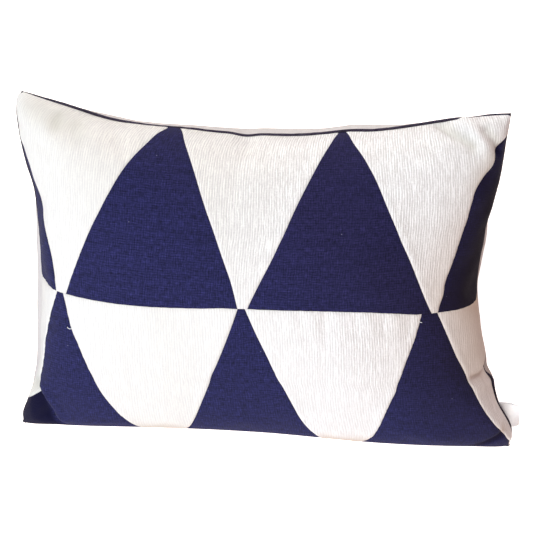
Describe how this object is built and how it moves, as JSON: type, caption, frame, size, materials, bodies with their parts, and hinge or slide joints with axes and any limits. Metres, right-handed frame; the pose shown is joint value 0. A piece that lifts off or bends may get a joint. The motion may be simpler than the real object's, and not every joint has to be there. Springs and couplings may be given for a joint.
{
  "type": "lumbar pillow",
  "caption": "Filled rectangular lumbar pillow with a pieced triangle face, piped seam and small side label, lying on its back.",
  "frame": {"origin": "middle of the flat resting area of the back, on the surface the pillow lies on", "axes": "+X along the cover to the right of its face, +Y to the top seam, +Z out of the pieced face, away from the surface it lies on"},
  "size_m": [0.3951, 0.278, 0.1379],
  "materials": {
    "cover_cloth": "pieced cream slub cotton and navy canvas, matt, plain pale cotton back",
    "piping_cloth": "navy cotton wrapped cord, matt",
    "label_tape": "white woven tape, slight sheen, blank"
  },
  "bodies": {
    "root": {"cushion": "cover_cloth", "edge_piping": "piping_cloth", "side_label": "label_tape"}
  },
  "joints": []
}
